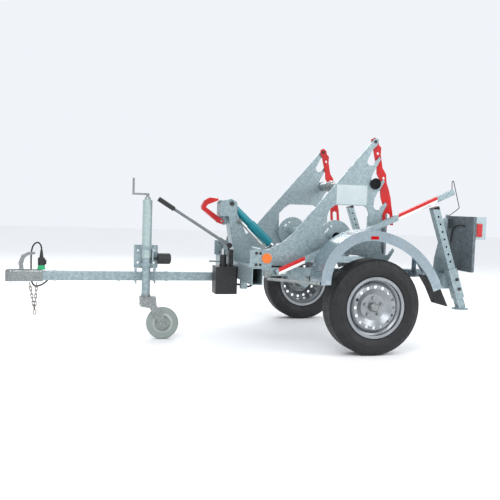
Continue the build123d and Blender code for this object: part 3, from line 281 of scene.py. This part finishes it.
def tyre_rubber():
    """Dark rubber, with a block tread round the crown and fine rings on the walls."""
    rubber = moulded("tyre_rubber", (0.006, 0.006, 0.007), 0.6)
    ahead = rubber.sums("SUBTRACT", rubber.along("X"), AXLE_X)
    above = rubber.sums("SUBTRACT", rubber.along("Z"), AXLE_Z)
    angle = rubber.sums("ARCTAN2", above, ahead)
    radius = rubber.sums("SQRT", rubber.sums("ADD", rubber.sums("MULTIPLY", ahead, ahead),
                                            rubber.sums("MULTIPLY", above, above)))
    slant = rubber.sums("MULTIPLY", rubber.sums("ABSOLUTE", rubber.along("Y")), TREAD_SLANT)
    turned = rubber.sums("ADD", rubber.sums("MULTIPLY", angle, TREAD_BLOCKS), slant)
    blocks = rubber.spread(rubber.sums("SINE", turned), -0.6, -0.2)
    crown = rubber.spread(radius, TREAD_INNER, TREAD_OUTER)
    rings = rubber.sums("SINE", rubber.sums("MULTIPLY", radius, WALL_RINGS))
    walls = rubber.spread(rings, -1.0, 1.0, 0.4, 0.6)
    height = rubber.node("ShaderNodeMix", data_type="FLOAT")
    rubber.join(crown, height.inputs[0])
    rubber.join(walls, height.inputs[2])
    rubber.join(blocks, height.inputs[3])
    rubber.bump(height.outputs[0], 0.8, 0.004)
    return rubber


def rusty_chain():
    """Zinc worn through to brown on the links."""
    return zinc_coat("chain_zinc", (0.30, 0.27, 0.23), (0.14, 0.10, 0.075), 260.0, 0.55)


TAPES = ((-0.575, -0.410), (0.210, 0.480))
BAR_LOW = Vector((AXLE_X - 0.590, 0.491))
BAR_HIGH = Vector((AXLE_X + 0.600, 1.030))
BAR_DIRECTION = (BAR_HIGH - BAR_LOW).normalized()
BAR_MIDDLE = BAR_LOW.y * BAR_DIRECTION.x - BAR_LOW.x * BAR_DIRECTION.y


def taped_bar():
    """The marker bar: zinc, with tape near both ends that is red along its upper half and white below."""
    bar = zinc_coat("marker_bar_zinc", PALE_ZINC, GREY_ZINC, 95.0, 0.42)
    metal = bar.surface.inputs["Base Color"].links[0].from_socket
    ahead = bar.along("X")
    stretches = [bar.within(ahead, AXLE_X + start, AXLE_X + end) for start, end in TAPES]
    taped = bar.sums("MAXIMUM", *stretches)
    run, rise = BAR_DIRECTION
    across = bar.sums("SUBTRACT", bar.sums("MULTIPLY", bar.along("Z"), run),
                      bar.sums("MULTIPLY", ahead, rise))
    colours = bar.mix(bar.sums("GREATER_THAN", across, BAR_MIDDLE), WHITE, RED)
    bar.paint(bar.mix(taped, metal, colours))
    bar.join(bar.sums("MULTIPLY", bar.sums("SUBTRACT", 1.0, taped), 0.6),
             bar.surface.inputs["Metallic"])
    return bar


LAMP_REAR, LAMP_BACK = 0.651, 0.700
LAMP_LOW, LAMP_HIGH = 0.742, 0.838
LAMP_IN, LAMP_OUT = 0.590, 0.797
SIGNAL_IN = 0.725
GUARD_IN, GUARD_FRONT = 0.790, 0.652


def shaded_lamp_plate():
    """Zinc plate darkened with painted shade, with a red and amber lamp behind it and a pale side guard.
    """
    # The two dark greys are painted shade on a plate that is the same zinc as the other plates.
    plate = zinc_coat("shaded_lamp_plate", (0.16, 0.19, 0.21), (0.09, 0.11, 0.12), 80.0, 0.5)
    metal = plate.surface.inputs["Base Color"].links[0].from_socket
    behind = plate.within(plate.along("X"), AXLE_X + LAMP_REAR, AXLE_X + LAMP_BACK)
    upright = plate.within(plate.along("Z"), LAMP_LOW, LAMP_HIGH)
    outboard = plate.sums("ABSOLUTE", plate.along("Y"))
    lamp = plate.sums("MULTIPLY", plate.sums("MULTIPLY", behind, upright),
                      plate.within(outboard, LAMP_IN, LAMP_OUT))
    signal = plate.within(outboard, SIGNAL_IN, LAMP_OUT)
    guard = plate.sums("MULTIPLY", plate.sums("GREATER_THAN", outboard, GUARD_IN),
                       plate.sums("GREATER_THAN", plate.along("X"), AXLE_X + GUARD_FRONT))
    metal = plate.mix(guard, metal, PALE_ZINC)
    plate.paint(plate.mix(lamp, metal, plate.mix(signal, LENS_RED, AMBER)))
    plate.join(plate.sums("MULTIPLY", plate.sums("SUBTRACT", 1.0, lamp), 0.5),
               plate.surface.inputs["Metallic"])
    return plate


GRIP_START = -1.155


def gripped_lever():
    """The pump lever: dark plated tube, with a black grip on its front end."""
    lever = zinc_coat("lever_tube", (0.22, 0.24, 0.25), (0.12, 0.14, 0.15), 200.0, 0.35)
    metal = lever.surface.inputs["Base Color"].links[0].from_socket
    grip = lever.sums("LESS_THAN", lever.along("X"), AXLE_X + GRIP_START)
    lever.paint(lever.mix(grip, metal, BLACK))
    lever.join(lever.sums("MULTIPLY", lever.sums("SUBTRACT", 1.0, grip), 0.6),
               lever.surface.inputs["Metallic"])
    return lever


SPINDLE_DISC = 0.502
TURNING_MARKS = 2600.0


def turned_spindle():
    """Bright turned bar between black end discs."""
    bar = zinc_coat("spindle_steel", (0.42, 0.44, 0.45), (0.30, 0.32, 0.33), 50.0, 0.3, 0.8)
    metal = bar.surface.inputs["Base Color"].links[0].from_socket
    ends = bar.sums("GREATER_THAN", bar.sums("ABSOLUTE", bar.along("Y")), SPINDLE_DISC)
    bar.paint(bar.mix(ends, metal, BLACK))
    rings = bar.sums("SINE", bar.sums("MULTIPLY", bar.along("Y"), TURNING_MARKS))
    bar.bump(rings, 0.1, 0.0003)
    return bar


LEG_CAP = 0.912


def capped_leg(name):
    """A zinc leg with a black end cap."""
    leg = zinc_coat(name, PALE_ZINC, GREY_ZINC, 95.0, 0.42)
    metal = leg.surface.inputs["Base Color"].links[0].from_socket
    leg.paint(leg.mix(leg.sums("GREATER_THAN", leg.along("Z"), LEG_CAP), metal, BLACK))
    return leg


MARK_FRONT, MARK_REAR = -0.066, -0.014
MARK_LOW, MARK_HIGH = 0.718, 0.738
FENDER_LIP = 0.795


def bright_fender():
    """Bright rolled sheet, with a small red reflector on the outer lip over the wheel."""
    sheet = zinc_coat("bright_sheet", (0.40, 0.47, 0.51), (0.28, 0.35, 0.39), 60.0, 0.26, 0.85)
    metal = sheet.surface.inputs["Base Color"].links[0].from_socket
    over = sheet.within(sheet.along("X"), AXLE_X + MARK_FRONT, AXLE_X + MARK_REAR)
    lip = sheet.within(sheet.along("Z"), MARK_LOW, MARK_HIGH)
    outer = sheet.sums("GREATER_THAN", sheet.sums("ABSOLUTE", sheet.along("Y")), FENDER_LIP)
    mark = sheet.sums("MULTIPLY", sheet.sums("MULTIPLY", over, lip), outer)
    sheet.paint(sheet.mix(mark, metal, LENS_RED))
    return sheet


FINISHES = {
    "galvanised": zinc_coat("galvanised_steel", PALE_ZINC, GREY_ZINC, 95.0, 0.42),
    "zinc": zinc_coat("zinc_plate", (0.36, 0.38, 0.37), (0.18, 0.20, 0.20), 220.0, 0.35, 0.75),
    "pale_tube": zinc_coat("pale_tube", (0.46, 0.56, 0.55), (0.34, 0.43, 0.43), 130.0, 0.38),
    "bright_steel": bright_fender(),
    "bare_steel": turned_spindle(),
    # The dark_plate finish is galvanised sheet with painted shade in its colour.
    "dark_plate": shaded_lamp_plate(),
    "pale_rim": sprayed("pale_rim_paint", (0.42, 0.47, 0.44), 0.45),
    "silver_paint": sprayed("silver_rim_paint", (0.34, 0.36, 0.38), 0.30, metallic=0.75),
    "red_paint": sprayed("red_gloss_paint", RED, 0.32),
    "teal_paint": sprayed("teal_gloss_paint", TEAL, 0.30),
    "black_paint": sprayed("black_satin_paint", BLACK, 0.42, (0.08, 0.08, 0.08)),
    "black_steel": sprayed("blackened_steel", (0.02, 0.02, 0.021), 0.40, (0.12, 0.12, 0.12)),
    "chrome": sprayed("bright_chrome", (0.80, 0.81, 0.82), 0.12, (0.6, 0.6, 0.6), 0.3, 1.0),
    "green_plastic": moulded("green_socket_plastic", (0.01, 0.34, 0.13), 0.35),
    "black_plastic": moulded("black_plastic", BLACK, 0.45),
    "black_rubber": moulded("black_rubber", (0.014, 0.014, 0.014), 0.65),
    "grey_rubber": moulded("grey_solid_rubber", (0.24, 0.28, 0.26), 0.7),
    "amber": reflector("amber_reflector", AMBER),
    "tyre": tyre_rubber(),
}


def dress(piece, finish):
    """Gives every material slot of a piece one finish."""
    if not piece.material_slots:
        piece.data.materials.append(finish.material)
    for place in piece.material_slots:
        place.material = finish.material


for part in frame["record"]["subparts"]:
    dress(NODES[part["node"]], FINISHES[part["material_slot"]])
dress(NODES["safety_chain"], rusty_chain())
dress(NODES["marker_bar"], taped_bar())
dress(NODES["pump_lever"], gripped_lever())
for side, _ in SIDES:
    dress(NODES[side + "_leg"], capped_leg(side + "_leg_zinc"))
dress(lead, FINISHES["black_rubber"])


# ---- Small pieces ----
def plate(name, low, high, edge, body, finish):
    """A thin plate or block between two corners, with softened edges."""
    low, high = Vector(low), Vector(high)
    size = high - low
    mesh = bpy.data.meshes.new(name)
    shape = bmesh.new()
    placed = Matrix.Translation((low + high) / 2) @ Matrix.Diagonal((*size, 1))
    bmesh.ops.create_cube(shape, size=1.0, matrix=placed)
    bmesh.ops.bevel(shape, geom=shape.edges[:], offset=edge, segments=4, profile=0.5, affect="EDGES")
    shape.to_mesh(mesh)
    shape.free()
    piece = add_piece(name, mesh, body)
    dress(piece, finish)
    return piece


ARM_FACE = 0.501
LABEL_THICK = 0.0012
blank_label = plate("blank_label", (AXLE_X - 0.179, -ARM_FACE - LABEL_THICK, 0.925),
                    (AXLE_X + 0.030, -ARM_FACE + 0.0004, 1.050), 0.0005, "lift_frame",
                    moulded("label_film", (0.44, 0.51, 0.52), 0.4))
LENS_FINISH = reflector("red_lens", LENS_RED)
LENS_IN, LENS_OUT = 0.7985, 0.8065
LENS_FRONT, LENS_REAR = 0.655, 0.693
LENS_LOW, LENS_HIGH = 0.749, 0.831
for side, sign in SIDES:
    outer = [sign * LENS_IN, sign * LENS_OUT]
    window = plate(side + "_side_lens", (AXLE_X + LENS_FRONT, min(outer), LENS_LOW),
                   (AXLE_X + LENS_REAR, max(outer), LENS_HIGH), 0.003, side + "_lamp_board", LENS_FINISH)


# ---- Floor and light ----
FLOOR_SIZE = 40.0


def add_floor():
    """A plain pale floor under the wheels."""
    mesh = bpy.data.meshes.new("floor")
    half = FLOOR_SIZE / 2
    corners = [(-half, -half, 0), (half, -half, 0), (half, half, 0), (-half, half, 0)]
    mesh.from_pydata(corners, [], [(0, 1, 2, 3)])
    floor = bpy.data.objects.new("floor", mesh)
    bpy.context.scene.collection.objects.link(floor)
    concrete = Finish("pale_floor", (0.93, 0.93, 0.93), 0.8)
    concrete.paint(concrete.mix(concrete.noise(3.0), (0.94, 0.94, 0.94), (0.92, 0.92, 0.92)))
    dress(floor, concrete)


def add_light(name, place, size, power):
    """A soft square light that faces the middle of the trailer."""
    data = bpy.data.lights.new(name, "AREA")
    data.size = size
    data.energy = power
    light = bpy.data.objects.new(name, data)
    bpy.context.scene.collection.objects.link(light)
    light.location = place
    light.rotation_euler = (Vector((0, 0, 0.5)) - Vector(place)).to_track_quat("-Z", "Y").to_euler()


add_floor()
add_light("key_light", (-2.5, -4.5, 4.5), 3.5, 160.0)
add_light("fill_light", (4.0, -3.0, 3.0), 3.0, 110.0)
add_light("back_light", (1.0, 4.5, 4.0), 3.5, 130.0)
world = bpy.data.worlds.new("studio")
world.use_nodes = True
world.node_tree.nodes["Background"].inputs["Color"].default_value = (0.92, 0.95, 1.0, 1.0)
world.node_tree.nodes["Background"].inputs["Strength"].default_value = 0.95
bpy.context.scene.world = world
bpy.context.scene.view_settings.view_transform = "Standard"
